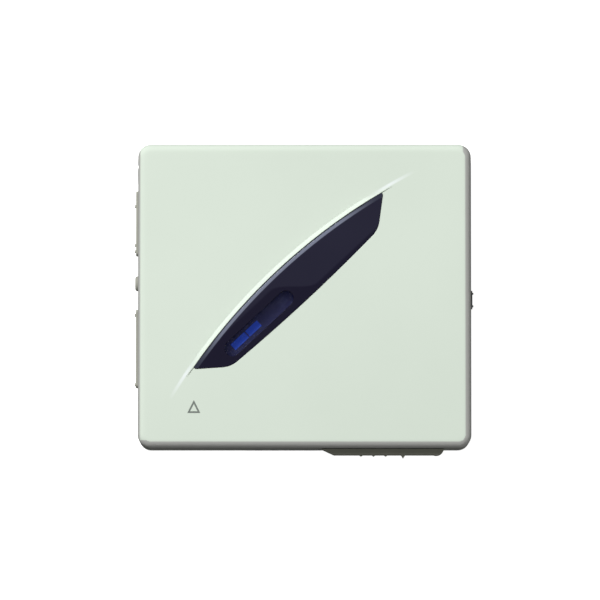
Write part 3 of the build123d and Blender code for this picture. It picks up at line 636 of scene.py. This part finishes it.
# places and sizes are in millimetres
down, up, left, right = (0, 0, -1), (0, 0, 1), (-1, 0, 0), (1, 0, 0)
screwSets = {
    "bottom_screws": {
        "places": [(-36.8, -33.4, 0.7), (-23.0, 33.4, 0.7), (36.8, 33.4, 0.7), (36.9, 18.5, 0.7)],
        "facings": [down] * 4, "seed": 3,
        "sizes": {"Head Radius": 1.2, "Head Height": 0.55, "Shank Radius": 0.53, "Shank Length": 4.1,
                  "Recess Width": 0.34, "Recess Depth": 0.35}},
    "chassis_screws": {
        "places": [(-30.0, -12.5, 8.45), (-30.0, 22.0, 8.45), (30.0, 20.5, 8.45), (5.0, -13.6, 8.45)],
        "facings": [up] * 4, "seed": 5,
        "sizes": {"Head Radius": 1.3, "Head Height": 0.2, "Shank Radius": 0.44, "Shank Length": 4.8,
                  "Recess Width": 0.32, "Recess Depth": 0.14}},
    "side_screws": {
        "places": [(38.9, 29.0, 6.5), (-38.9, -27.0, 6.5)],
        "facings": [right, left], "seed": 8,
        "sizes": {"Head Radius": 0.97, "Head Height": 0.5, "Shank Radius": 0.4, "Shank Length": 1.7,
                  "Recess Width": 0.28, "Recess Depth": 0.32}},
}


def inMetres(sizes):
    return {name: size * mm for name, size in sizes.items()}


screwTree = makeScrewTree()
for node, look in screwSets.items():
    values = {**inMetres(look["sizes"]), "Seed": look["seed"], "Material": materials[slotOf[node]]}
    points = list(zip(look["places"], look["facings"]))
    standFor(buildFrom(screwTree, node + "Crossed", points, values), node)

threadLook = {"start": (9.1, 13.5, 4.9),
              "sizes": {"Core Radius": 0.5, "Thread Radius": 0.69, "Lead": 2.0, "Thread Length": 26.1,
                        "Journal Start": 2.9, "Journal End": 2.0}}
threadValues = {**inMetres(threadLook["sizes"]), "Material": materials[slotOf["lead_screw"]]}
threaded = buildFrom(makeThreadTree(), "leadScrewThreaded", [(threadLook["start"], right)], threadValues)
standFor(threaded, "lead_screw")
print("screws and thread made")


# a thin printed triangle on the lid, pointing at the hinge, in millimetres
markLook = {"apex": (-26.2, -24.75), "left": -27.75, "right": -24.65, "low": -27.85, "line": 0.42,
            "lift": 0.012, "lidTop": 16.3}


def makeMark():
    look = markLook
    height = look["lidTop"] + look["lift"]
    outer = [Vector((*look["apex"], height)), Vector((look["left"], look["low"], height)),
             Vector((look["right"], look["low"], height))]
    # the middle is weighted by each corner's opposite side, so the line is equally wide all round
    opposite = [(outer[(i + 1) % 3] - outer[(i + 2) % 3]).length for i in range(3)]
    middle = sum((side * corner for side, corner in zip(opposite, outer)), Vector()) / sum(opposite)
    doubleArea = (outer[1] - outer[0]).cross(outer[2] - outer[0]).length
    shrink = 1 - look["line"] * sum(opposite) / doubleArea
    inner = [middle + (corner - middle) * shrink for corner in outer]
    mesh = bpy.data.meshes.new("lidMark")
    strips = [(0, 1, 4, 3), (1, 2, 5, 4), (2, 0, 3, 5)]
    mesh.from_pydata([corner * mm for corner in outer + inner], [], strips)
    mark = addObject("lidMark", mesh)
    setMaterial(mark, materials["mark_ink"])
    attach(mark, "lid")


makeMark()
print("mark made")

studio = {"floorSize": 3.0, "floorDrop": 0.0002, "floorTone": (250, 250, 248), "bounceTone": (20, 20, 20),
          "floorRough": 0.9, "floorGlow": 0.85, "fibre": (300, 3.0), "fibreShade": (0.985, 1.0),
          "skyDiffuse": 0.17, "skyShown": 1.0}


# one where the camera sees the floor or sky, itself or in a mirroring or clear surface
def addShown(tree):
    path = grow(tree, "ShaderNodeLightPath").outputs
    seen = addMath(tree, "MAXIMUM", path["Is Camera Ray"], path["Is Glossy Ray"])
    return addMath(tree, "MAXIMUM", seen, path["Is Transmission Ray"])


def makeFloor():
    half = studio["floorSize"] / 2
    mesh = bpy.data.meshes.new("floor")
    corners = [(-half, -half, 0), (half, -half, 0), (half, half, 0), (-half, half, 0)]
    mesh.from_pydata(corners, [], [(0, 1, 2, 3)])
    floor = addObject("floor", mesh)
    floor.location.z = -studio["floorDrop"]
    material, tree, shader, place = startMaterial("floorPaper")
    shown = addShown(tree)
    fibre = addRange(tree, addNoise(tree, place, *studio["fibre"]), *studio["fibreShade"])
    feedAll(tree, shader, {
        "Base Color": addMix(tree, shown, colour(studio["bounceTone"]), colour(studio["floorTone"])),
        "Roughness": studio["floorRough"], "Specular IOR Level": 0.0, "Emission Color": (1, 1, 1, 1),
        "Emission Strength": addProduct(tree, shown, studio["floorGlow"], fibre)})
    setMaterial(floor, material)


def makeWorld():
    world = bpy.data.worlds.new("studioWorld")
    world.use_nodes = True
    tree = world.node_tree
    strength = addRange(tree, addShown(tree), studio["skyDiffuse"], studio["skyShown"], 0, 1)
    feedAll(tree, tree.nodes["Background"], {"Color": (1, 1, 1, 1), "Strength": strength})
    scene.world = world


# directions point from the middle of the lid to the lamp; metres and watts
lidHeight = 0.016
softboxes = {
    "keyBox": {"direction": (-0.43, 0.55, 0.71), "distance": 1.6, "size": 0.6, "power": 26.3},
    "frontBox": {"direction": (-0.2, -0.95, 0.3), "distance": 1.2, "size": 0.5, "power": 0.85},
    "fillBox": {"direction": (0.85, -0.25, 0.46), "distance": 1.6, "size": 0.8, "power": 4.5},
}


def addSoftbox(name, look):
    lamp = bpy.data.lights.new(name, "AREA")
    lamp.size = look["size"]
    lamp.energy = look["power"]
    box = addObject(name, lamp)
    direction = Vector(look["direction"]).normalized()
    box.location = direction * look["distance"] + Vector((0, 0, lidHeight))
    box.rotation_euler = direction.to_track_quat("Z", "Y").to_euler()


# the target, distance and width seen at the lid are in millimetres, the tilt from straight down in degrees
view = {"target": (-1.08, -1.05, 16.3), "tilt": 4.0, "distance": 1500, "frameWidth": 142.1, "sensor": 36.0,
        "clipEnd": 20.0}


def makeCamera():
    lens = bpy.data.cameras.new("camera")
    lens.sensor_width = view["sensor"]
    lens.lens = view["sensor"] * view["distance"] / view["frameWidth"]
    lens.clip_end = view["clipEnd"]
    camera = addObject("camera", lens)
    tilt = math.radians(view["tilt"])
    away = Vector((0, -math.sin(tilt), math.cos(tilt))) * view["distance"]
    camera.location = (Vector(view["target"]) + away) * mm
    camera.rotation_euler = (tilt, 0, 0)
    scene.camera = camera


makeFloor()
makeWorld()
for name, look in softboxes.items():
    addSoftbox(name, look)
makeCamera()
scene.view_settings.view_transform = "Standard"
print("stage ready")
